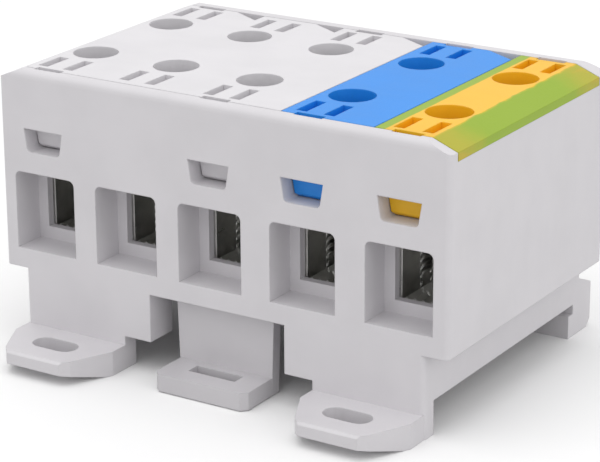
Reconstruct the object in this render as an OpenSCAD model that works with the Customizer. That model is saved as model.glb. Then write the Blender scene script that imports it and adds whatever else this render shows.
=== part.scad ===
// Power distribution block: five poles in one rail-mounted moulded housing, through
// terminals of extruded metal, two clamp screws a pole, covers held by tongues and a sprung rail latch.
// Millimetres. X along the row of poles, Y from front to back, Z up from the mounting plane.

/* [Housing] */
// Width of the main body
body_w = 64.4; // [62.5:0.1:68]
// Depth of the main body, front face to rear face
body_d = 40.6; // [40.2:0.1:44]
// Height of the top face above the mounting plane
body_top = 36.8; // [36.4:0.1:40]
// Height of the underside of the main body
floor_z = 10.7; // [10.6:0.1:11]
// Radius of the upright corners
corner_r = 0.7; // [0.4:0.1:1.2]
// Radius along the top edges of the front and rear walls
rim_r = 1.0; // [0.5:0.1:1.3]
// Width of the sloping edge at each end of the top
slope_w = 3.3; // [2:0.1:4]
// Drop of the sloping edge at each end of the top
slope_drop = 1.3; // [0.6:0.1:1.8]
// Thickness of the front rim beside the covers
rim_front = 1.65; // [1.4:0.05:1.9]
// Thickness of the front wall behind the rim
wall_front = 3.0; // [2.6:0.1:3.3]

/* [Poles] */
// Distance between poles under one cover
pole_pitch = 12.4; // [12.2:0.1:13]
// Distance between poles under separate covers
split_pitch = 13.2; // [12.6:0.1:13.4]
// Width of a wire entry pocket
pocket_w = 9.1; // [8.2:0.1:9.6]
// Bottom of the wire entry pockets
pocket_z = 13.3; // [12.9:0.1:13.8]
// Height of the wire entry pockets
pocket_h = 10.2; // [9.6:0.1:10.6]
// Depth of the front wire entry pockets
pocket_d = 4.55; // [4:0.05:5]
// Radius of the upper corners of the pockets
pocket_r = 0.8; // [0.4:0.1:1.2]
// Thickness of the frame between a pocket and the terminal
frame_t = 1.1; // [0.9:0.05:1.5]
// Width of the opening in that frame
frame_w = 6.2; // [6:0.1:6.8]
// Step from the pocket floor up to the frame opening
frame_step = 1.7; // [1.4:0.1:1.9]
// Strip of frame left above the frame opening
frame_head = 0.9; // [0.5:0.1:1.3]

/* [Terminals] */
// Outer width of a terminal body
term_w = 9.0; // [8.6:0.1:9.2]
// Height of a terminal body
term_h = 16.0; // [15:0.1:17]
// Thickness of the housing floor under the terminals
term_floor = 1.7; // [1.5:0.1:2]
// Width of the wire tunnel through a terminal
tunnel_w = 5.6; // [5.2:0.1:5.9]
// Height of the wire tunnel above its teeth
tunnel_h = 6.85; // [6:0.05:7.2]
// Metal left under the teeth of the tunnel
tunnel_base = 2.2; // [1.8:0.05:2.4]
// Number of teeth across the tunnel floor
tooth_n = 5; // [3:1:7]
// Height of the teeth
tooth_h = 0.55; // [0.3:0.05:0.8]
// Bevel on the long edges of a terminal body
term_bevel = 0.6; // [0.2:0.1:1]

/* [Clamp screws] */
// Diameter of the clamp screws
screw_d = 6.0; // [5.95:0.05:6.2]
// Clearance on the radius between a screw and its bore
screw_fit = 0.05; // [0.03:0.01:0.1]
// Length of a clamp screw
screw_l = 9.0; // [8:0.1:9.6]
// How far a screw stands in the tunnel as stored
screw_in = 1.0; // [0.4:0.1:1.4]
// Distance between the two screws of a pole
screw_gap = 16.7; // [15:0.1:17.4]
// Width across the flats of the hexagon socket
hex_af = 3.0; // [2.5:0.1:3.4]
// Depth of the hexagon socket
hex_deep = 3.4; // [2.5:0.1:4]
// Depth to which the bores are tapped below the tunnel roof
tap_deep = 5.6; // [5.3:0.1:5.9]

/* [Covers] */
// Thickness of the cover plates
cover_t = 2.35; // [2:0.05:2.6]
// Length of the cover plates from front to back
cover_l = 36.6; // [36.4:0.1:36.8]
// Gap round the covers
cover_gap = 0.12; // [0.08:0.02:0.2]
// Position of the joint between the first two covers
split_a = 8.5; // [7.6:0.1:8.7]
// Position of the joint between the last two covers
split_b = 21.2; // [20.8:0.1:21.6]
// Diameter of the screw access holes
access_d = 5.8; // [5.7:0.05:5.9]
// Inner diameter of the sleeves under the access holes
sleeve_id = 6.5; // [6.4:0.1:6.8]
// Outer diameter of the sleeves under the access holes
sleeve_od = 8.5; // [8:0.1:8.7]
// Gap between a sleeve and the terminal below it
sleeve_gap = 0.25; // [0.1:0.05:0.4]
// Width of a marker slot
slot_w = 1.45; // [1.2:0.05:1.7]
// Length of a marker slot
slot_l = 4.5; // [4:0.1:5]
// Depth of a marker slot
slot_deep = 1.7; // [1:0.1:1.8]
// Distance between the two slots of a pair
slot_pitch = 3.8; // [3.4:0.1:4.4]
// Distance from the cover edge to a marker slot
slot_edge = 1.4; // [1.1:0.1:1.8]
// Length of the cut-back corner at the rear edge
nick_l = 4.6; // [3:0.1:5]
// Depth of the cut-back corner at the rear edge
nick_d = 2.6; // [1.5:0.1:2.8]
// Distance from a pole to the cut-back corner of the pole before it
nick_off = 4.0; // [3.8:0.1:4.2]

/* [Snap tongues] */
// Width of a snap window at its top
win_w = 5.9; // [5.4:0.1:6.3]
// Difference between the top and bottom widths of a window
win_taper = 0.8; // [0.4:0.1:1.2]
// Height of a snap window
win_h = 3.0; // [2.6:0.1:3.2]
// Distance from the top face to the top of a window
win_drop = 7.5; // [7.2:0.1:7.7]
// Thickness of a snap tongue
tongue_t = 1.1; // [0.9:0.05:1.2]
// Reach of the tongue's catch into the window
catch_in = 0.9; // [0.6:0.05:1.1]
// Gap round a tongue
tongue_gap = 0.15; // [0.1:0.01:0.2]
// Room for the tongue to spring back
tongue_room = 0.6; // [0.4:0.05:0.7]
// Width of the release notch above a tongue
notch_w = 3.9; // [3:0.1:4.6]
// Depth of the release notch
notch_d = 0.6; // [0.4:0.05:0.8]

/* [Rail seat and legs] */
// Height of the rail seat above the mounting plane
rail_z = 4.4; // [4.1:0.1:4.6]
// Inset of the lower part from the ends of the body
low_inset = 3.05; // [2.5:0.05:3.6]
// Thickness of the side walls of the lower part
skirt_t = 2.0; // [1.6:0.1:2.4]
// Thickness of the front legs
leg_t = 2.3; // [2:0.1:2.6]
// Half width of the opening in which the latch moves
bay_half = 9.85; // [9.4:0.05:10.4]
// Depth of the ribs beside the latch
rib_deep = 4.75; // [4:0.05:5.2]
// Thickness of the ribs beside the latch and under the floor
rib_t = 1.65; // [1.2:0.05:2]
// Width of the rail that the seat takes
rail_w = 35.0; // [34.9:0.1:35.1]
// Height of the groove for the edge of the rail
groove_h = 1.3; // [1.2:0.05:1.5]
// Bite of the rear feet over the edge of the rail
groove_in = 0.9; // [0.7:0.05:1.1]
// Width of a rear foot
foot_w = 12.0; // [9:0.5:15]
// Depth of a rear foot from its groove side to its back
foot_d = 6.3; // [5.8:0.1:6.6]
// Height of a rear foot at its back
foot_h = 6.1; // [5:0.1:7]

/* [Mounting ears] */
// Distance of an ear's centre line from the middle
ear_x = 21.4; // [21:0.1:21.6]
// Width of an ear where it meets its leg
ear_w = 15.2; // [14.6:0.1:15.4]
// Width of an ear at its tip
ear_tip_w = 9.4; // [8:0.1:11]
// Reach of an ear in front of the body
ear_l = 9.15; // [8.5:0.05:10]
// Thickness of an ear at its leg
ear_t = 3.2; // [2.8:0.1:3.4]
// Thickness of an ear at its tip
ear_tip_t = 1.7; // [1.3:0.1:2.2]
// Length of an ear's parallel part
ear_root = 2.7; // [2.5:0.1:3.4]
// Width of the screw slot in an ear
ear_slot_w = 3.2; // [3:0.1:3.6]
// Length of the screw slot in an ear
ear_slot_l = 6.4; // [5.5:0.1:7]
// Distance of the screw slot in front of the body
ear_slot_y = 4.4; // [4:0.1:4.8]

/* [Rail latch] */
// Width of the latch plate at its top
latch_w = 14.2; // [13.6:0.1:14.6]
// Narrowing of the latch plate towards its foot
latch_taper = 0.7; // [0:0.1:1.2]
// Thickness of the latch plate
latch_t = 1.6; // [1.4:0.05:1.7]
// Reach of the latch foot in front of its plate
latch_reach = 6.0; // [5:0.1:6.5]
// Thickness of the latch foot
latch_foot_t = 2.3; // [2:0.1:2.5]
// Gap under the latch foot
latch_low = 0.1; // [0.05:0.05:0.3]
// Length of the screwdriver slot in the latch foot
pry_l = 6.8; // [5.5:0.1:8]
// Width of the screwdriver slot in the latch foot
pry_w = 1.95; // [1.5:0.05:2.4]
// Distance from the plate to the screwdriver slot
pry_off = 1.25; // [1:0.05:1.8]
// Bite of the latch under the front edge of the rail
latch_bite = 1.4; // [1.1:0.1:1.6]
// Gap between the latch plate and the edge of the rail
latch_rail_gap = 0.15; // [0.1:0.05:0.3]
// Width of the latch slide
slide_w = 12.4; // [11:0.1:12.6]
// Thickness of the latch slide
slide_t = 1.4; // [1.2:0.05:1.5]
// Length of the latch slide behind the plate
slide_l = 14.4; // [13.6:0.1:16]
// Running gap round the latch slide
slide_gap = 0.15; // [0.1:0.01:0.2]
// Lip of the guides under the latch slide
guide_lip = 1.4; // [1:0.1:1.6]
// Length of the guides
guide_l = 11.0; // [9:0.1:12]
// Outer diameter of the latch spring
spring_od = 2.0; // [1.8:0.05:2]
// Wire diameter of the latch spring
spring_wire = 0.32; // [0.25:0.01:0.36]
// Length of the latch spring as fitted
spring_l = 5.6; // [5:0.1:6]
// Number of turns of the latch spring
spring_turns = 7; // [5:1:8]

/* [Hidden] */
$fn = 48;
eps = 0.01;
cover_mid = rim_front + cover_l/2;                 // the covers and terminals share this plane
rim_rear = body_d - rim_front - cover_l;
seat_z = body_top - cover_t;                       // the covers rest at this height
first_x = -(2*pole_pitch + 2*split_pitch)/2;
poles = [first_x, first_x + pole_pitch, first_x + 2*pole_pitch,
         first_x + 2*pole_pitch + split_pitch, first_x + 2*pole_pitch + 2*split_pitch];
snap_poles = [0, 2, 3, 4];
term_z = floor_z + term_floor;
term_fit = 0.1;
term_front = pocket_d + frame_t;
term_l = 2*(cover_mid - term_front) - 2*term_fit;
tip_z = term_z + tunnel_base + tooth_h;            // tips of the teeth
roof_z = tip_z + tunnel_h;                         // roof of the wire tunnel
screw_y = [cover_mid - screw_gap/2, cover_mid + screw_gap/2];
screw_z = roof_z - screw_in;                       // lower end of a screw as stored
low_x = body_w/2 - low_inset;
leg_in = ear_x - ear_w/2;                          // inner edge of a leg
latch_y0 = 2.0;                                    // front face of the latch plate
latch_y1 = latch_y0 + latch_t;
rail_back = latch_y1 + latch_rail_gap + rail_w;    // rear edge of the rail
foot_y = rail_back - groove_in;
foot_back = foot_y + foot_d;
mid_y = (foot_back - ear_l)/2;                     // the part stands centred on its own box
post_y = 9.2;
post_t = 1.2;

slide_z = floor_z - slide_gap - slide_t;
spring_z = slide_z + 0.35;                         // axis of the latch spring

// Every piece is drawn with the front face at y = 0, then set on the shared origin.
module placed() { translate([0, -mid_y, 0]) children(); }
// A profile drawn as x and z, extruded from y = a to y = b.
module along_y(a, b) { translate([0, b, 0]) rotate([90, 0, 0]) linear_extrude(b - a) children(); }
// A profile drawn as y and z, extruded from x = a to x = b.
module along_x(a, b) { translate([a, 0, 0]) rotate([90, 0, 90]) linear_extrude(b - a) children(); }
module span(a, b) { translate([a[0], a[1], a[2]]) cube([b[0]-a[0], b[1]-a[1], b[2]-a[2]]); }
module rounded(x0, x1, y0, y1, r) {
  translate([x0 + r, y0]) square([x1 - x0 - 2*r, y1 - y0]);
  translate([x0, y0 + r]) square([x1 - x0, y1 - y0 - 2*r]);
  for (x = [x0 + r, x1 - r], y = [y0 + r, y1 - r]) translate([x, y]) circle(r);
}
module both_sides() { children(); mirror([1, 0, 0]) children(); }
module front_and_rear() {
  children();
  translate([0, 2*cover_mid, 0]) mirror([0, 1, 0]) children();
}

// Outer form of the main body: upright corners, sloped ends and rounded rims in one.
module body_form() {
  intersection() {
    translate([0, 0, floor_z]) linear_extrude(body_top - floor_z)
      rounded(-body_w/2, body_w/2, 0, body_d, corner_r);
    along_y(-1, body_d + 1) end_profile(floor_z - 1);
    along_x(-body_w, body_w) union() {
      translate([0, floor_z - 1]) square([body_d, body_top - rim_r - floor_z + 1]);
      translate([rim_r, floor_z]) square([body_d - 2*rim_r, body_top - floor_z]);
      for (y = [rim_r, body_d - rim_r]) translate([y, body_top - rim_r]) circle(rim_r);
    }
  }
}
module end_profile(z0) {
  polygon([[-body_w/2, z0], [body_w/2, z0], [body_w/2, body_top - slope_drop],
           [body_w/2 - slope_w, body_top], [-body_w/2 + slope_w, body_top],
           [-body_w/2, body_top - slope_drop]]);
}
module pocket_profile() {
  translate([-pocket_w/2, pocket_z]) square([pocket_w, pocket_h - pocket_r]);
  translate([-pocket_w/2 + pocket_r, pocket_z]) square([pocket_w - 2*pocket_r, pocket_h]);
  for (x = [-1, 1]) translate([x*(pocket_w/2 - pocket_r), pocket_z + pocket_h - pocket_r])
    circle(pocket_r);
}
// A snap window, or with a gap the catch that fills it.
module window_profile(gap = 0) {
  top = body_top - win_drop - gap;
  low = body_top - win_drop - win_h + gap;
  half = (win_w - win_taper)/2 - gap;
  wide = win_w/2 - gap;
  r = 0.6;
  polygon([[-wide, top], [-half, low + r], [-half + r, low], [half - r, low],
           [half, low + r], [wide, top]]);
  for (x = [-1, 1]) translate([x*(half - r), low + r]) circle(r);
}
// Everything cut for one pole.
module pole_cuts(k) {
  translate([poles[k], 0, 0]) {
    along_y(-1, pocket_d) pocket_profile();
    along_y(2*cover_mid - pocket_d, body_d + 1) pocket_profile();
    span([-frame_w/2, pocket_d - 1, pocket_z + frame_step],
         [frame_w/2, 2*cover_mid - pocket_d + 1, pocket_z + pocket_h - frame_head]);
    span([-term_w/2 - term_fit, term_front, term_z],
         [term_w/2 + term_fit, 2*cover_mid - term_front, seat_z + 1]);
  }
}
module snap_cuts(k) {
  room = wall_front + 2*tongue_gap + tongue_t + tongue_room;
  translate([poles[k], 0, 0]) {
    along_y(-1, wall_front + eps) window_profile();
    along_y(2*cover_mid - wall_front - eps, body_d + 1) window_profile();
    front_and_rear() {
      span([-win_w/2, wall_front, body_top - win_drop - win_h - 0.8],
           [win_w/2, room - tongue_gap, seat_z + 1]);
      span([-notch_w/2, rim_front - notch_d/2, seat_z],
           [notch_w/2, rim_front + 1, body_top + 1]);
    }
  }
}
// The walls that stand on the rail, with the opening for the latch.
module lower_part() {
  difference() {
    translate([0, 0, rail_z]) linear_extrude(floor_z - rail_z + 1)
      rounded(-low_x, low_x, 0, body_d, corner_r);
    span([-low_x + skirt_t, leg_t, rail_z - 1], [low_x - skirt_t, body_d - rib_t, floor_z]);
    span([-bay_half, -1, rail_z - 1], [bay_half, leg_t + 1, floor_z]);
  }
  both_sides() {
    span([bay_half, 0, rail_z], [bay_half + rib_t, rib_deep, floor_z + eps]);
    span([leg_in + 4, leg_t - eps, rail_z], [leg_in + 4 + rib_t, body_d - rib_t + eps, floor_z + eps]);
  }
}
module leg() {
  intersection() {
    linear_extrude(rail_z + 1) rounded(-low_x, low_x, 0, body_d, corner_r);
    span([leg_in, -1, -1], [low_x + 1, leg_t, rail_z + 1]);
  }
}
module ear() {
  tip = ear_tip_w/2;
  r = 1.1;
  difference() {
    intersection() {
      linear_extrude(ear_t) union() {
        polygon([[-ear_w/2, 0.5], [-ear_w/2, -ear_root], [-tip - 0.35, -ear_l + r],
                 [-tip + r*0.6, -ear_l], [tip - r*0.6, -ear_l], [tip + 0.35, -ear_l + r],
                 [ear_w/2, -ear_root], [ear_w/2, 0.5]]);
      }
      along_x(-ear_w, ear_w) polygon([[1, 0], [-ear_root - 0.9, 0], [-ear_l - 1, ear_t - ear_tip_t + 0.2],
        [-ear_l - 1, ear_t - 0.4], [-ear_l, ear_t - 0.35], [-ear_l + 0.35, ear_t], [1, ear_t]]);
    }
    translate([0, -ear_slot_y, -1]) linear_extrude(ear_t + 2) slot_shape(ear_slot_l, ear_slot_w);
  }
}
module slot_shape(l, w) {
  translate([-(l - w)/2, -w/2]) square([l - w, w]);
  for (x = [-1, 1]) translate([x*(l - w)/2, 0]) circle(w/2);
}
// A rear foot holds the far edge of the rail in its groove.
module rear_foot() {
  along_x(low_x - foot_w, low_x) difference() {
    polygon([[foot_y, 0], [foot_back - 1, 0], [foot_back, 1], [foot_back, foot_h],
             [body_d + 0.4, foot_h + 1.3], [body_d, foot_h + 1.5], [body_d, floor_z + eps],
             [foot_y, floor_z + eps]]);
    translate([foot_y - 1, rail_z - groove_h]) square([groove_in + 0.3 + 1, groove_h]);
  }
}
// Guides, stop post and spring peg of the latch, under the housing floor.
module latch_guides() {
  half = slide_w/2 + slide_gap;
  y0 = latch_y1 + 2.2;
  low = slide_z - slide_gap - 1.2;
  both_sides() {
    span([half, y0, low], [half + rib_t, y0 + guide_l, floor_z + eps]);
    span([half - guide_lip, y0, low], [half + eps, y0 + guide_l, slide_z - slide_gap]);
  }
  span([-1.1, post_y, slide_z - 0.9], [1.1, post_y + post_t, floor_z + eps]);
  translate([0, post_y + post_t - eps, spring_z]) rotate([-90, 0, 0]) cylinder(d = 1, h = 0.8);
}

module housing() {
  color([0.79, 0.79, 0.80]) placed() {
    difference() {
      union() { body_form(); lower_part(); }
      // the seat of the covers, open at both ends
      span([-body_w, rim_front, seat_z], [body_w, body_d - rim_rear, body_top + 1]);
      for (k = [0:4]) pole_cuts(k);
      for (k = snap_poles) snap_cuts(k);
    }
    both_sides() { leg(); rear_foot(); translate([ear_x, 0, 0]) ear(); }
    latch_guides();
  }
}

// A cover over the poles a to b, from x0 to x1.
module cover(a, b, x0, x1) {
  difference() {
    union() {
      intersection() {
        span([x0, rim_front + cover_gap, seat_z], [x1, rim_front + cover_l - cover_gap, body_top]);
        along_y(0, body_d) end_profile(seat_z - 1);
      }
      for (k = [a:b]) for (y = screw_y) translate([poles[k], y, term_z + term_h + sleeve_gap])
        cylinder(d = sleeve_od, h = seat_z - term_z - term_h - sleeve_gap + eps);
      for (k = [a:b]) if (len(search(k, snap_poles)) > 0) translate([poles[k], 0, 0])
        front_and_rear() tongue();
    }
    for (k = [a:b]) translate([poles[k], 0, 0]) {
      for (y = screw_y) {
        translate([0, y, seat_z - 1]) cylinder(d = access_d, h = cover_t + 2);
        translate([0, y, term_z + term_h - 1]) cylinder(d = sleeve_id, h = seat_z - term_z - term_h + 1);
      }
      front_and_rear() {
        for (x = [-1, 1]) span([x*slot_pitch/2 - slot_w/2, rim_front + slot_edge, body_top - slot_deep],
          [x*slot_pitch/2 + slot_w/2, rim_front + slot_edge + slot_l, body_top + 1]);
        if (len(search(k, snap_poles)) > 0)
          span([-notch_w/2, rim_front - 1, seat_z + 0.9], [notch_w/2, rim_front + cover_gap + notch_d, body_top + 1]);
      }
    }
    // the rear edge is cut back before the next pole
    for (k = [a:b]) if (k < 4) nick(k < b ? poles[k + 1] - nick_off : x1);
  }
}
module nick(x) {
  y = rim_front + cover_l;
  translate([0, 0, seat_z - 1]) linear_extrude(cover_t + 2)
    polygon([[x - nick_l, y], [x, y - nick_d], [x + eps, y - nick_d], [x + eps, y + 1], [x - nick_l, y + 1]]);
}
// A springy leg with a catch that fills the window below the rim.
module tongue() {
  y = wall_front + tongue_gap;
  face = y - catch_in;
  top = body_top - win_drop - tongue_gap;
  low = body_top - win_drop - win_h + tongue_gap;
  half = (win_w - win_taper)/2 - tongue_gap;
  along_x(-half, half) polygon([[y, seat_z + eps], [y, low], [y + tongue_t*0.6, low],
                                [y + tongue_t, low + 0.5], [y + tongue_t, seat_z + eps]]);
  intersection() {
    along_y(face, y + eps) window_profile(tongue_gap);
    along_x(-win_w, win_w) polygon([[face, top + 1], [y + eps, top + 1], [y + eps, low - 1],
                                    [face + 0.35, low - eps], [face, low + 0.35]]);
  }
}
module cover_phase() {
  color([0.93, 0.93, 0.94]) placed() cover(0, 2, -body_w/2, split_a - cover_gap/2);
}
module cover_neutral() {
  color([0.14, 0.45, 0.85]) placed() cover(3, 3, split_a + cover_gap/2, split_b - cover_gap/2);
}
module cover_earth() {
  color([0.96, 0.76, 0.20]) placed() cover(4, 4, split_b + cover_gap/2, body_w/2);
}

// Extruded terminal body: a toothed tunnel from end to end and two tapped bores.
module terminal(k) {
  tooth = tunnel_w/tooth_n;
  b = term_bevel;
  h = term_w/2;
  color([0.72, 0.73, 0.74]) placed() translate([poles[k], 0, 0]) difference() {
    along_y(term_front + term_fit, term_front + term_fit + term_l) difference() {
      polygon([[-h + b, term_z], [h - b, term_z], [h, term_z + b], [h, term_z + term_h - b],
               [h - b, term_z + term_h], [-h + b, term_z + term_h], [-h, term_z + term_h - b],
               [-h, term_z + b]]);
      polygon(concat([[-tunnel_w/2, roof_z], [-tunnel_w/2, tip_z - tooth_h]],
        [for (i = [0:tooth_n - 1], j = [0, 1])
          [-tunnel_w/2 + (i + 0.5 + j*0.5)*tooth, j == 0 ? tip_z : tip_z - tooth_h]],
        [[tunnel_w/2, roof_z]]));
    }
    for (y = screw_y) translate([0, y, roof_z - tap_deep])
      cylinder(r = screw_d/2 + screw_fit, h = term_z + term_h - roof_z + tap_deep + 1);
  }
}
module terminal_phase_1() { terminal(0); }
module terminal_phase_2() { terminal(1); }
module terminal_phase_3() { terminal(2); }
module terminal_neutral() { terminal(3); }
module terminal_earth() { terminal(4); }

// Set screw with a bevelled tip and a hexagon socket.
module clamp_screw(k, s) {
  r = screw_d/2;
  color([0.55, 0.56, 0.58]) placed() translate([poles[k], screw_y[s], screw_z]) difference() {
    rotate_extrude() polygon([[0, 0.5], [r*0.45, 0], [r - 0.9, 0], [r, 0.9], [r, screw_l - 0.4],
                              [r - 0.4, screw_l], [0, screw_l]]);
    translate([0, 0, screw_l - hex_deep]) cylinder(d = hex_af/cos(30), h = hex_deep + 1, $fn = 6);
  }
}

// Latch: plate, foot and slide in one moulding, with the hook for the rail behind the plate.
module rail_latch() {
  y0 = latch_y0;
  y1 = latch_y1;
  top = floor_z - slide_gap;
  foot_top = latch_low + latch_foot_t;
  low_half = (latch_w - latch_taper)/2;
  hook_top = rail_z - groove_h + 0.1;
  r = 0.8;
  color([0.76, 0.76, 0.77]) placed() difference() {
    union() {
      along_y(y0, y1) polygon([[-low_half, latch_low], [low_half, latch_low], [latch_w/2, top],
                               [-latch_w/2, top]]);
      translate([0, 0, latch_low]) linear_extrude(latch_foot_t)
        polygon([[-low_half, y1], [-low_half, y0 - latch_reach + r], [-low_half + r, y0 - latch_reach],
                 [low_half - r, y0 - latch_reach], [low_half, y0 - latch_reach + r], [low_half, y1]]);
      along_x(-low_half + 1, low_half - 1)
        polygon([[y1 - eps, foot_top - 0.6], [y1 - eps, hook_top],
                 [y1 + latch_rail_gap + latch_bite, hook_top],
                 [y1 + latch_rail_gap + latch_bite, hook_top - 0.5]]);
      span([-slide_w/2, y1 - eps, slide_z], [slide_w/2, y1 + slide_l, top]);
    }
    translate([-pry_l/2, y0 - pry_off - pry_w, -1]) cube([pry_l, pry_w, latch_foot_t + 2]);
    span([-1.35, post_y - slide_gap, slide_z - 1], [1.35, post_y + post_t + spring_l, top + 1]);
  }
  color([0.76, 0.76, 0.77]) placed() translate([0, post_y + post_t + spring_l + eps, spring_z])
    rotate([90, 0, 0]) cylinder(d = 1, h = 0.8);
}

// Closed sweep of a small ring of points along the turns of the spring.
function turn_point(i, n) = let (a = 360*spring_turns*i/n, r = (spring_od - spring_wire)/2)
  [r*cos(a), spring_wire/2 + (spring_l - spring_wire)*i/n, r*sin(a)];
module latch_spring() {
  n = spring_turns*10;
  m = 6;
  pts = [for (i = [0:n], j = [0:m - 1]) let (a = 360*spring_turns*i/n, b = 360*j/m, w = spring_wire/2)
    turn_point(i, n) + [w*cos(b)*cos(a), w*sin(b), w*cos(b)*sin(a)]];
  sides = [for (i = [0:n - 1], j = [0:m - 1]) let (k = (j + 1)%m)
    [i*m + j, (i + 1)*m + j, (i + 1)*m + k, i*m + k]];
  color([0.70, 0.71, 0.73]) placed() translate([0, post_y + post_t, spring_z])
    polyhedron(points = pts, faces = concat([[for (j = [0:m - 1]) j]],
      [[for (j = [m - 1:-1:0]) n*m + j]], sides));
}

module screw_1_front() { clamp_screw(0, 0); }
module screw_1_rear() { clamp_screw(0, 1); }
module screw_2_front() { clamp_screw(1, 0); }
module screw_2_rear() { clamp_screw(1, 1); }
module screw_3_front() { clamp_screw(2, 0); }
module screw_3_rear() { clamp_screw(2, 1); }
module screw_4_front() { clamp_screw(3, 0); }
module screw_4_rear() { clamp_screw(3, 1); }
module screw_5_front() { clamp_screw(4, 0); }
module screw_5_rear() { clamp_screw(4, 1); }

housing();
cover_phase();
cover_neutral();
cover_earth();
terminal_phase_1();
terminal_phase_2();
terminal_phase_3();
terminal_neutral();
terminal_earth();
screw_1_front();
screw_1_rear();
screw_2_front();
screw_2_rear();
screw_3_front();
screw_3_rear();
screw_4_front();
screw_4_rear();
screw_5_front();
screw_5_rear();
rail_latch();
latch_spring();
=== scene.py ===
"""Finish and studio for a rail-mounted power distribution block."""

import math

import bmesh
import bpy
from bpy.props import FloatProperty, FloatVectorProperty, IntProperty, PointerProperty
from mathutils import Matrix, Vector


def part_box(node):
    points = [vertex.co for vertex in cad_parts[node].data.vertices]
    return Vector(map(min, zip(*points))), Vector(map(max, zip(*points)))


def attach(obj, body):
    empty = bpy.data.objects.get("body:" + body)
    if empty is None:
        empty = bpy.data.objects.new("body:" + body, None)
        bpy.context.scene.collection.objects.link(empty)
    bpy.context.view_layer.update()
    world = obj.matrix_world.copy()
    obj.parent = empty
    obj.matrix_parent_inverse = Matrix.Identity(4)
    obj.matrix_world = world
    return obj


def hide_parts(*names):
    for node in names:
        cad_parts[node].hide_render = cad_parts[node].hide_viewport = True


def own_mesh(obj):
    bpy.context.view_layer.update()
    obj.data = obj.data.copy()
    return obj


bl_info = {
    "name": "Distribution block looks",
    "version": (1, 0, 0),
    "blender": (4, 5, 0),
    "location": "View3D > Sidebar > Block",
    "description": "Materials, threaded clamp screws and a studio for a power distribution block",
    "category": "Object",
}

MM = 0.001
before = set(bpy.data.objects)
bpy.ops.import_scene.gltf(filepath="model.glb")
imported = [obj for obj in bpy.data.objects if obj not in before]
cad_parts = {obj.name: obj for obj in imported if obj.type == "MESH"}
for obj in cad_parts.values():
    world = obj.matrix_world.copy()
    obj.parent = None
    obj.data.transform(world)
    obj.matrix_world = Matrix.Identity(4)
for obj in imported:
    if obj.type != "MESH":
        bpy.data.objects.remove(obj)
# Places and sizes in millimetres, as in the solids.
POLES = (-25.6, -13.2, -0.8, 12.4, 25.6)
SCREW_ROWS = (("front", -5.9), ("rear", 10.8))
COVER_MIDDLE = 2.45
GREEN_STRIP_END = 22.6
SLOPE_START = 28.9
BORE_RADIUS = 3.05


# ---------------------------------------------------------------- settings


class PlasticSettings(bpy.types.PropertyGroup):
    """Colours and surface of the moulded pieces."""

    housing: FloatVectorProperty(
        name="Housing", description="Colour of the housing", subtype="COLOR", size=3,
        min=0, max=1, default=(0.650, 0.632, 0.655))
    latch: FloatVectorProperty(
        name="Latch", description="Colour of the rail latch", subtype="COLOR", size=3,
        min=0, max=1, default=(0.590, 0.573, 0.595))
    white: FloatVectorProperty(
        name="White cover", description="Colour of the phase cover", subtype="COLOR", size=3,
        min=0, max=1, default=(0.692, 0.676, 0.698))
    blue: FloatVectorProperty(
        name="Blue cover", description="Colour of the neutral cover", subtype="COLOR", size=3,
        min=0, max=1, default=(0.012, 0.255, 0.78))
    yellow: FloatVectorProperty(
        name="Yellow", description="Yellow of the earth cover", subtype="COLOR", size=3,
        min=0, max=1, default=(0.93, 0.50, 0.010))
    green: FloatVectorProperty(
        name="Green", description="Green of the earth cover", subtype="COLOR", size=3,
        min=0, max=1, default=(0.275, 0.41, 0.008))
    olive: FloatVectorProperty(
        name="Olive", description="Where the two colours of the earth cover run together",
        subtype="COLOR", size=3, min=0, max=1, default=(0.50, 0.39, 0.012))
    roughness: FloatProperty(
        name="Roughness", description="Roughness of the moulded surface",
        min=0.1, max=1, default=0.46)
    grain: FloatProperty(
        name="Grain", description="Size of the spark-eroded mould texture",
        default=0.00022, min=0.00005, max=0.002, unit="LENGTH")
    edge: FloatProperty(
        name="Edge", description="Radius of the moulded edges",
        default=0.00018, min=0.0, max=0.001, unit="LENGTH")


class MetalSettings(bpy.types.PropertyGroup):
    """Colours and surface of the metal pieces."""

    tin: FloatVectorProperty(
        name="Tin", description="Colour of the plated terminals", subtype="COLOR", size=3,
        min=0, max=1, default=(0.66, 0.655, 0.63))
    steel: FloatVectorProperty(
        name="Steel", description="Colour of the clamp screws", subtype="COLOR", size=3,
        min=0, max=1, default=(0.56, 0.57, 0.58))
    roughness: FloatProperty(
        name="Roughness", description="Roughness of the plated metal",
        min=0.05, max=1, default=0.3)
    thread_pitch: FloatProperty(
        name="Thread pitch", description="Pitch of the clamp screws' thread",
        default=1.0 * MM, min=0.5 * MM, max=1.5 * MM, unit="LENGTH")


class ScrewSettings(bpy.types.PropertyGroup):
    """Form of the clamp screws."""

    radius: FloatProperty(
        name="Radius", description="Radius over the thread", default=3.0 * MM, min=1 * MM,
        max=3.0 * MM, unit="LENGTH")
    length: FloatProperty(
        name="Length", description="Length of a screw", default=9.0 * MM, min=5 * MM,
        max=9.0 * MM, unit="LENGTH")
    depth: FloatProperty(
        name="Thread depth", description="Depth of the thread", default=0.55 * MM,
        min=0.1 * MM, max=0.7 * MM, unit="LENGTH")
    socket: FloatProperty(
        name="Socket", description="Width across the flats of the hexagon socket",
        default=3.0 * MM, min=2 * MM, max=4 * MM, unit="LENGTH")
    socket_depth: FloatProperty(
        name="Socket depth", description="Depth of the hexagon socket",
        default=3.4 * MM, min=1 * MM, max=5 * MM, unit="LENGTH")
    segments: IntProperty(
        name="Segments", description="Sides round a screw, a multiple of six",
        default=48, min=24, max=96, step=6)


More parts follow.
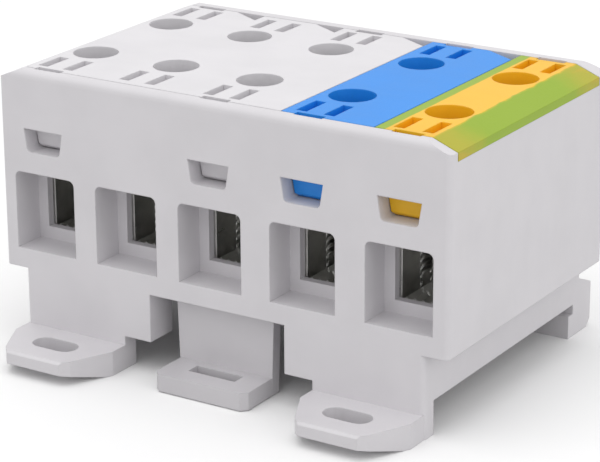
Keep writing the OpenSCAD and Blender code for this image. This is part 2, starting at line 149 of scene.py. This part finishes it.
class SpringSettings(bpy.types.PropertyGroup):
    """Form of the latch's return spring."""

    diameter: FloatProperty(
        name="Diameter", description="Diameter over the wire", default=2.0 * MM, min=1 * MM,
        max=2.0 * MM, unit="LENGTH")
    wire: FloatProperty(
        name="Wire", description="Diameter of the wire", default=0.32 * MM, min=0.1 * MM,
        max=0.4 * MM, unit="LENGTH")
    turns: FloatProperty(name="Turns", description="Turns of the wire", default=7.0, min=3, max=9)
    length: FloatProperty(
        name="Length", description="Length with the latch at rest", default=5.6 * MM,
        min=4 * MM, max=5.6 * MM, unit="LENGTH")


class StageSettings(bpy.types.PropertyGroup):
    """Camera, floor and light."""

    camera_place: FloatVectorProperty(
        name="Camera", description="Place of the camera", size=3, subtype="TRANSLATION",
        unit="LENGTH", default=(0.16097, -0.25398, 0.12067))
    heading: FloatProperty(
        name="Heading", description="Turn of the camera about the upright axis",
        default=math.radians(32.179), subtype="ANGLE")
    tilt: FloatProperty(
        name="Tilt", description="How far the camera looks down",
        default=math.radians(19.255), subtype="ANGLE")
    roll: FloatProperty(
        name="Roll", description="Turn of the camera about its line of sight",
        default=math.radians(-0.305), subtype="ANGLE")
    lens: FloatProperty(
        name="Lens", description="Focal length in millimetres", default=150.97, min=20)
    ambient: FloatProperty(
        name="Ambient", description="Strength of the light from all round",
        default=0.92, min=0)
    top: FloatProperty(
        name="Top light", description="Power of the top softbox", default=0.62, min=0)
    side: FloatProperty(
        name="Side light", description="Power of the side softbox", default=0.34, min=0)
    floor: FloatProperty(
        name="Floor", description="Reflectance of the floor to light that falls on the object",
        default=0.62, min=0, max=1)
    paper: FloatProperty(
        name="Paper", description="Reflectance of the floor to the camera",
        default=0.95, min=0, max=1)


# ---------------------------------------------------------------- shader sums


class Value:
    """A node socket that takes part in sums, so that a pattern reads as its formula."""

    def __init__(self, tree, socket):
        self.tree = tree
        self.socket = socket

    def math(self, operation, *terms):
        values = dict(enumerate(terms))
        return add_node(self.tree, "ShaderNodeMath", {"operation": operation}, values)

    def __add__(self, other):
        return self.math("ADD", self, other)

    def __radd__(self, other):
        return self.math("ADD", other, self)

    def __sub__(self, other):
        return self.math("SUBTRACT", self, other)

    def __rsub__(self, other):
        return self.math("SUBTRACT", other, self)

    def __mul__(self, other):
        return self.math("MULTIPLY", self, other)

    def __rmul__(self, other):
        return self.math("MULTIPLY", other, self)

    def __truediv__(self, other):
        return self.math("DIVIDE", self, other)

    def __abs__(self):
        return self.math("ABSOLUTE", self)

    def part(self):
        return self.math("FRACT", self)

    def root(self):
        return self.math("SQRT", self)

    def lowest(self, other):
        return self.math("MINIMUM", self, other)

    def highest(self, other):
        return self.math("MAXIMUM", self, other)

    def rise(self, low, high):
        """0 below low, 1 above high, smooth between."""
        return add_node(self.tree, "ShaderNodeMapRange", {"interpolation_type": "SMOOTHSTEP"},
                        {"Value": self, "From Min": low, "From Max": high})


def put(tree, term, slot):
    """Links a Value to a socket, or sets the socket to a number, colour, vector or material."""
    if isinstance(term, Value):
        tree.links.new(term.socket, slot)
    elif hasattr(term, "__len__") and len(slot.default_value) == 4:
        slot.default_value = tuple(term) + (1.0,) * (4 - len(term))
    else:
        slot.default_value = term


def add_node(tree, kind, settings=None, values=None, output=0):
    """Adds a node with its settings and its sockets' values or links, and gives one output."""
    node = tree.nodes.new(kind)
    for name, setting in (settings or {}).items():
        setattr(node, name, setting)
    for name, term in (values or {}).items():
        put(tree, term, node.inputs[name])
    if output is None:
        return node
    return Value(tree, node.outputs[output]) if node.outputs else node


class Surface:
    """A material under construction: its place in millimetres, its noises and its shader."""

    def __init__(self, name):
        self.material = bpy.data.materials.new(name)
        self.material.use_nodes = True
        self.tree = self.material.node_tree
        self.tree.nodes.clear()
        self.place = self.node("ShaderNodeTexCoord", output="Object")
        split = self.node("ShaderNodeSeparateXYZ", None, {0: self.place}, None)
        self.x, self.y, self.z = (Value(self.tree, s) * 1000.0 for s in split.outputs)

    def node(self, kind, settings=None, values=None, output=0):
        return add_node(self.tree, kind, settings, values, output)

    def noise(self, size_mm, detail=2.0, stretch=(1, 1, 1)):
        """Noise whose marks are about size_mm across, longer along an axis with a low stretch."""
        scaled = self.node("ShaderNodeVectorMath", {"operation": "MULTIPLY"},
                           {0: self.place, 1: [1000.0 * s / size_mm for s in stretch]})
        return self.node("ShaderNodeTexNoise", None,
                         {"Vector": scaled, "Scale": 1.0, "Detail": detail})

    def mix(self, share, a, b, blend="MIX"):
        return self.node("ShaderNodeMix", {"data_type": "RGBA", "blend_type": blend},
                         {0: share, 6: a, 7: b}, 2)

    def finish(self, colour, roughness, height, edge, metallic=0.0):
        """Closes the material. height is in millimetres, and edge is the radius of soft edges."""
        bump = {"Strength": 1.0, "Distance": MM, "Height": height}
        if edge > 0:
            bump["Normal"] = self.node("ShaderNodeBevel", {"samples": 4}, {"Radius": edge})
        shader = self.node("ShaderNodeBsdfPrincipled", None, {
            "Base Color": colour, "Roughness": roughness, "Metallic": metallic,
            "Normal": self.node("ShaderNodeBump", None, bump)})
        self.node("ShaderNodeOutputMaterial", None, {0: shader})
        return self.material


def shade(colour, factor):
    return tuple(min(1.0, c * factor) for c in colour)


def plastic(name, colour, settings, tint=None):
    """Moulded plastic: eroded grain, faint flow clouds and soft edges. tint colours it by place."""
    s = Surface(name)
    cloud = s.noise(9.0, 3.0)
    flow = s.noise(3.0, 2.0, (0.35, 1.0, 0.5))
    grain = s.noise(settings.grain / MM, 2.0)
    if tint:
        pigment = tint(s)
    else:
        pigment = s.mix(cloud.rise(0.3, 0.7), shade(colour, 0.975), shade(colour, 1.02))
    veil = s.mix(flow.rise(0.35, 0.75) * 0.5, (1.0, 1.0, 1.0), (0.965, 0.965, 0.97))
    rough = grain * 0.10 + cloud * 0.08 + (settings.roughness - 0.09)
    height = grain * 0.008 + flow * 0.015
    return s.finish(s.mix(1.0, pigment, veil, "MULTIPLY"), rough, height, settings.edge)


def metal(name, colour, roughness, stretch, thread=None, edge=0.00012):
    """Plated metal with drawn streaks along one axis and, where thread says, a tapped thread."""
    s = Surface(name)
    streak = s.noise(0.35, 3.0, stretch)
    patch = s.noise(2.2, 3.0)
    plating = s.mix(patch.rise(0.3, 0.7), shade(colour, 0.88), shade(colour, 1.04))
    rough = streak * 0.16 + patch * 0.12 + (roughness - 0.12)
    height = streak * 0.012
    if thread:
        height = height + thread(s)
    return s.finish(plating, rough, height, edge, 1.0)


def two_colours(settings):
    """The earth cover: yellow in the middle, green along its left edge and its slope."""

    def tint(s):
        wander = s.noise(2.4, 3.0) - 0.5
        left = (s.x + wander * 0.25).rise(GREEN_STRIP_END - 0.15, GREEN_STRIP_END + 0.15)
        right = (s.x + wander * 0.7).rise(SLOPE_START - 0.2, SLOPE_START + 0.25)
        ends = abs(s.y - COVER_MIDDLE)
        blend = (ends + wander * 5.0).rise(9.5, 16.5)
        streak = s.noise(1.6, 2.0, (1.0, 0.25, 1.0)).rise(0.5, 0.72)
        slope = s.mix(blend * (streak * 0.35 + 0.65), settings.green, settings.olive)
        faded = (ends + wander * 2.0).rise(14.0, 18.5) * 0.22
        middle = s.mix(faded, settings.yellow, settings.olive)
        inner = s.mix(left, settings.green, middle)
        return s.mix(right, inner, slope)

    return tint


def tapped(pitch_mm):
    """Height of a tapped thread on the walls of the two bores of each terminal."""

    def height(s):
        bores = []
        for pole in POLES:
            for _, row in SCREW_ROWS:
                dx, dy = s.x - pole, s.y - row
                bores.append((dx * dx + dy * dy).root())
        nearest = bores[0]
        for bore in bores[1:]:
            nearest = nearest.lowest(bore)
        wall = 1 - abs(nearest - BORE_RADIUS).rise(0.05, 0.12)
        wave = abs((s.z / pitch_mm).part() - 0.5) * 2.0
        return wave * wall * 0.45

    return height


def dress(node, material):
    """Gives a CAD node a material. Its form stays as it is."""
    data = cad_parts[node]
    if not data.material_slots:
        data.data.materials.append(material)
    for slot in data.material_slots:
        slot.material = material


# ---------------------------------------------------------------- clamp screws


def thread_group():
    """Geometry nodes that cut a thread into a tube of a given radius and length."""
    tree = bpy.data.node_groups.new("threaded_shank", "GeometryNodeTree")
    tree.interface.new_socket("Geometry", in_out="OUTPUT", socket_type="NodeSocketGeometry")
    sizes = ("Radius", "Length", "Pitch", "Depth", "Run-out")
    kinds = dict.fromkeys(sizes, "Float")
    kinds |= {"Segments": "Int", "Rows": "Int", "Material": "Material"}
    for name, kind in kinds.items():
        tree.interface.new_socket(name, in_out="INPUT", socket_type=f"NodeSocket{kind}")
    given = add_node(tree, "NodeGroupInput", output=None)
    asked = {name: Value(tree, given.outputs[name]) for name in kinds}
    radius, length, pitch, depth, run_out = (asked[name] for name in sizes)
    tube = add_node(tree, "GeometryNodeMeshCylinder", {"fill_type": "NONE"}, {
        "Vertices": asked["Segments"], "Side Segments": asked["Rows"],
        "Radius": radius, "Depth": length})
    split = add_node(tree, "ShaderNodeSeparateXYZ", None,
                     {0: add_node(tree, "GeometryNodeInputPosition")}, None)
    x, y, z = (Value(tree, s) for s in split.outputs)
    turn = y.math("ARCTAN2", y, x) / math.tau
    groove = abs((z / pitch - turn).part() - 0.5) * 2.0
    clear = ((length / 2.0 - abs(z)) / run_out).lowest(1.0).highest(0.0)
    inward = groove * groove * clear * depth / radius * -1.0
    move = add_node(tree, "ShaderNodeCombineXYZ", None, {0: x * inward, 1: y * inward})
    moved = add_node(tree, "GeometryNodeSetPosition", None, {"Geometry": tube, "Offset": move})
    made = add_node(tree, "GeometryNodeRealizeInstances", None, {0: moved})
    made = add_node(tree, "GeometryNodeSetMaterial", None,
                    {"Geometry": made, "Material": asked["Material"]})
    add_node(tree, "NodeGroupOutput", None, {0: made})
    return tree


def spring_group():
    """Geometry nodes that coil a wire: radius, length, turns and wire are its inputs."""
    tree = bpy.data.node_groups.new("coiled_wire", "GeometryNodeTree")
    tree.interface.new_socket("Geometry", in_out="OUTPUT", socket_type="NodeSocketGeometry")
    kinds = {"Radius": "Float", "Length": "Float", "Turns": "Float", "Wire": "Float",
             "Material": "Material"}
    for name, kind in kinds.items():
        tree.interface.new_socket(name, in_out="INPUT", socket_type=f"NodeSocket{kind}")
    given = add_node(tree, "NodeGroupInput", output=None)
    asked = {name: Value(tree, given.outputs[name]) for name in kinds}
    coil = add_node(tree, "GeometryNodeCurveSpiral", None, {
        "Resolution": 28, "Rotations": asked["Turns"], "Start Radius": asked["Radius"],
        "End Radius": asked["Radius"], "Height": asked["Length"]})
    section = add_node(tree, "GeometryNodeCurvePrimitiveCircle", None,
                       {"Resolution": 12, "Radius": asked["Wire"] / 2.0})
    made = add_node(tree, "GeometryNodeCurveToMesh", None,
                    {"Curve": coil, "Profile Curve": section, "Fill Caps": True})
    made = add_node(tree, "GeometryNodeRealizeInstances", None, {0: made})
    made = add_node(tree, "GeometryNodeSetMaterial", None,
                    {"Geometry": made, "Material": asked["Material"]})
    add_node(tree, "NodeGroupOutput", None, {0: made})
    return tree


def run_group(tree, values):
    """The mesh that a geometry nodes group makes from these values."""
    holder = bpy.data.objects.new("holder", bpy.data.meshes.new("holder"))
    bpy.context.scene.collection.objects.link(holder)
    modifier = holder.modifiers.new("nodes", "NODES")
    modifier.node_group = tree
    for item in tree.interface.items_tree:
        if item.in_out == "INPUT" and item.name in values:
            modifier[item.identifier] = values[item.name]
    bpy.context.view_layer.update()
    mesh = bpy.data.meshes.new_from_object(
        holder.evaluated_get(bpy.context.evaluated_depsgraph_get()))
    bpy.data.objects.remove(holder)
    return mesh


def add_rings(bm, rings, centre_z):
    """Rings of points joined one to the next, closed by a fan at centre_z."""
    rows = [[bm.verts.new(p) for p in ring] for ring in rings]
    for low, high in zip(rows, rows[1:]):
        for i in range(len(low)):
            j = (i + 1) % len(low)
            bm.faces.new((low[i], low[j], high[j], high[i]))
    tip = bm.verts.new((0, 0, centre_z))
    last = rows[-1]
    for i in range(len(last)):
        bm.faces.new((last[i], last[(i + 1) % len(last)], tip))


def screw_mesh(group, s, metals, material):
    """A set screw standing on z = 0: threaded shank, cup point and hexagon socket."""
    taper, rim, n = 1.1 * MM, 0.4 * MM, s.segments
    shank = s.length - taper - rim
    mesh = run_group(group, {
        "Radius": s.radius, "Length": shank, "Pitch": metals.thread_pitch, "Depth": s.depth,
        "Run-out": 0.7 * MM, "Segments": n, "Rows": 70, "Material": material})
    bm = bmesh.new()
    bm.from_mesh(mesh)
    bmesh.ops.translate(bm, verts=bm.verts, vec=(0, 0, taper + shank / 2))
    angles = [math.tau * i / n for i in range(n)]

    def ring(radius, z):
        return [(radius * math.cos(a), radius * math.sin(a), z) for a in angles]

    def hexagon(flats, z):
        reach = [flats / 2 / math.cos(a % (math.pi / 3) - math.pi / 6) for a in angles]
        return [(r * math.cos(a), r * math.sin(a), z) for r, a in zip(reach, angles)]

    add_rings(bm, [ring(s.radius, taper), ring(s.radius - 0.75 * MM, 0.12 * MM),
                   ring(s.radius - 0.95 * MM, 0), ring(1.4 * MM, 0)], 0.45 * MM)
    add_rings(bm, [ring(s.radius, s.length - rim), ring(s.radius - 0.1 * MM, s.length - 0.16 * MM),
                   ring(s.radius - rim, s.length), ring(s.socket * 0.62, s.length),
                   hexagon(s.socket, s.length - 0.25 * MM),
                   hexagon(s.socket, s.length - s.socket_depth)],
              s.length - s.socket_depth - 0.4 * MM)
    bmesh.ops.remove_doubles(bm, verts=bm.verts, dist=1e-6)
    bmesh.ops.recalc_face_normals(bm, faces=bm.faces)
    bm.to_mesh(mesh)
    bm.free()
    mesh.materials.clear()
    mesh.materials.append(material)
    mesh.shade_smooth()
    mesh.set_sharp_from_angle(angle=math.radians(38))
    return mesh


# ---------------------------------------------------------------- operators


class BLOCK_OT_housing(bpy.types.Operator):
    """Give the housing its moulded plastic"""

    bl_idname = "block.housing"
    bl_label = "Housing"

    def execute(self, context):
        s = context.scene.block_plastic
        dress("housing", plastic("housing_plastic", s.housing, s))
        return {"FINISHED"}


class BLOCK_OT_covers(bpy.types.Operator):
    """Give the three covers their colours"""

    bl_idname = "block.covers"
    bl_label = "Covers"

    def execute(self, context):
        s = context.scene.block_plastic
        dress("cover_phase", plastic("white_plastic", s.white, s))
        dress("cover_neutral", plastic("blue_plastic", s.blue, s))
        dress("cover_earth", plastic("yellow_green_plastic", s.yellow, s, two_colours(s)))
        return {"FINISHED"}


class BLOCK_OT_terminals(bpy.types.Operator):
    """Give the extruded terminals their tin plating, drawn lines and tapped bores"""

    bl_idname = "block.terminals"
    bl_label = "Terminals"

    def execute(self, context):
        s = context.scene.block_metal
        thread = tapped(s.thread_pitch / MM)
        tin = metal("tin_plating", s.tin, s.roughness, (1.0, 0.04, 1.0), thread)
        for node in sorted(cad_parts):
            if node.startswith("terminal"):
                dress(node, tin)
        return {"FINISHED"}


class BLOCK_OT_screws(bpy.types.Operator):
    """Build the threaded clamp screws in place of the plain ones"""

    bl_idname = "block.screws"
    bl_label = "Clamp screws"

    def execute(self, context):
        metals, form = context.scene.block_metal, context.scene.block_screw
        steel = metal("zinc_plating", metals.steel, metals.roughness, (1.0, 1.0, 0.2), None, 0.0)
        pattern = screw_mesh(thread_group(), form, metals, steel)
        for number in range(1, len(POLES) + 1):
            for row, _ in SCREW_ROWS:
                name = f"screw_{number}_{row}"
                low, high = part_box(name)
                mesh = pattern.copy()
                foot = ((low[0] + high[0]) / 2, (low[1] + high[1]) / 2, low[2])
                mesh.transform(Matrix.Translation(foot))
                screw = bpy.data.objects.new(f"clamp_{name}", mesh)
                context.scene.collection.objects.link(screw)
                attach(screw, name)
                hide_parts(name)
        return {"FINISHED"}


class BLOCK_OT_latch(bpy.types.Operator):
    """Give the rail latch its plastic"""

    bl_idname = "block.latch"
    bl_label = "Latch"

    def execute(self, context):
        s = context.scene.block_plastic
        dress("rail_latch", plastic("latch_plastic", s.latch, s))
        return {"FINISHED"}


class BLOCK_OT_spring(bpy.types.Operator):
    """Coil the latch's return spring at its length with the latch at rest"""

    bl_idname = "block.spring"
    bl_label = "Latch spring"

    def execute(self, context):
        metals, s = context.scene.block_metal, context.scene.block_spring
        wire = metal("spring_wire", metals.steel, metals.roughness, (1.0, 0.3, 1.0), None, 0.0)
        mesh = run_group(spring_group(), {
            "Radius": (s.diameter - s.wire) / 2, "Length": s.length - s.wire, "Turns": s.turns,
            "Wire": s.wire, "Material": wire})
        low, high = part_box("latch_spring")
        middle = [(a + b) / 2 for a, b in zip(low, high)]
        start = Matrix.Translation((middle[0], low[1] + s.wire / 2, middle[2]))
        mesh.transform(start @ Matrix.Rotation(math.radians(-90), 4, "X"))
        mesh.materials.clear()
        mesh.materials.append(wire)
        mesh.shade_smooth()
        spring = bpy.data.objects.new("return_spring", mesh)
        context.scene.collection.objects.link(spring)
        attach(spring, "block")
        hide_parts("latch_spring")
        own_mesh(spring)
        return {"FINISHED"}


def seen(tree):
    """1 where the camera looks, straight or by way of gloss or glass."""
    path = add_node(tree, "ShaderNodeLightPath", output=None)
    camera, glossy, through = (
        Value(tree, path.outputs[f"Is {kind} Ray"])
        for kind in ("Camera", "Glossy", "Transmission"))
    return camera.highest(glossy).highest(through)


class BLOCK_OT_stage(bpy.types.Operator):
    """Set up the floor, the lights and the camera"""

    bl_idname = "block.stage"
    bl_label = "Stage"

    def execute(self, context):
        scene, s = context.scene, context.scene.block_stage
        self.floor(scene, s)
        self.world(scene, s)
        self.softbox(scene, "top_softbox", (-0.05, -0.12, 0.45), 0.5, s.top)
        self.softbox(scene, "side_softbox", (0.5, -0.1, 0.16), 0.4, s.side)
        data = bpy.data.cameras.new("camera")
        data.sensor_fit, data.sensor_width = "HORIZONTAL", 36.0
        data.lens = s.lens
        data.clip_start, data.clip_end = 0.01, 20.0
        data.dof.use_dof = False
        camera = bpy.data.objects.new("camera", data)
        turn = Matrix.Rotation(s.heading, 4, "Z") @ Matrix.Rotation(math.pi / 2 - s.tilt, 4, "X")
        camera.matrix_world = (
            Matrix.Translation(s.camera_place) @ turn @ Matrix.Rotation(s.roll, 4, "Z"))
        scene.collection.objects.link(camera)
        scene.camera = camera
        scene.view_settings.view_transform = "Standard"
        return {"FINISHED"}

    def floor(self, scene, s):
        bm = bmesh.new()
        bmesh.ops.create_circle(bm, cap_ends=True, segments=64, radius=4.0)
        mesh = bpy.data.meshes.new("floor")
        bm.to_mesh(mesh)
        bm.free()
        floor = bpy.data.objects.new("floor", mesh)
        scene.collection.objects.link(floor)
        material = bpy.data.materials.new("floor_paper")
        material.use_nodes = True
        tree = material.node_tree
        tree.nodes.clear()
        bounce = add_node(tree, "ShaderNodeBsdfDiffuse", None, {"Color": (s.floor,) * 3})
        paper = add_node(tree, "ShaderNodeBsdfDiffuse", None, {"Color": (s.paper,) * 3})
        mixed = add_node(tree, "ShaderNodeMixShader", None, {0: seen(tree), 1: bounce, 2: paper})
        add_node(tree, "ShaderNodeOutputMaterial", None, {0: mixed})
        mesh.materials.append(material)

    def world(self, scene, s):
        world = bpy.data.worlds.new("studio")
        world.use_nodes = True
        tree = world.node_tree
        tree.nodes.clear()
        around = add_node(tree, "ShaderNodeBackground", None,
                          {"Color": (1.0, 1.0, 1.0), "Strength": s.ambient})
        backdrop = add_node(tree, "ShaderNodeBackground", None,
                            {"Color": (1.0, 1.0, 1.0), "Strength": 1.0})
        mixed = add_node(tree, "ShaderNodeMixShader", None,
                         {0: seen(tree), 1: around, 2: backdrop})
        add_node(tree, "ShaderNodeOutputWorld", None, {0: mixed})
        scene.world = world

    def softbox(self, scene, name, place, size, power):
        data = bpy.data.lights.new(name, "AREA")
        data.size, data.energy = size, power
        light = bpy.data.objects.new(name, data)
        light.location = place
        aim = Vector((0, 0, 0.02)) - Vector(place)
        light.rotation_euler = aim.to_track_quat("-Z", "Y").to_euler()
        scene.collection.objects.link(light)


class BLOCK_PT_panel(bpy.types.Panel):
    """Buttons for each step, in order"""

    bl_label = "Distribution block"
    bl_idname = "BLOCK_PT_panel"
    bl_space_type = "VIEW_3D"
    bl_region_type = "UI"
    bl_category = "Block"

    def draw(self, context):
        for step in STEPS:
            self.layout.operator(f"block.{step}")


STEPS = ("housing", "covers", "terminals", "screws", "latch", "spring", "stage")
SETTINGS = {"block_plastic": PlasticSettings, "block_metal": MetalSettings,
            "block_screw": ScrewSettings, "block_spring": SpringSettings,
            "block_stage": StageSettings}
CLASSES = (*SETTINGS.values(), BLOCK_OT_housing, BLOCK_OT_covers, BLOCK_OT_terminals,
           BLOCK_OT_screws, BLOCK_OT_latch, BLOCK_OT_spring, BLOCK_OT_stage, BLOCK_PT_panel)


def register():
    for cls in CLASSES:
        bpy.utils.register_class(cls)
    for name, cls in SETTINGS.items():
        setattr(bpy.types.Scene, name, PointerProperty(type=cls))


def unregister():
    for name in SETTINGS:
        delattr(bpy.types.Scene, name)
    for cls in reversed(CLASSES):
        bpy.utils.unregister_class(cls)


def main():
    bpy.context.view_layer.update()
    register()
    for step in STEPS:
        if getattr(bpy.ops.block, step)() != {"FINISHED"}:
            raise RuntimeError(f"block.{step} did not finish")


if __name__ == "__main__":
    main()
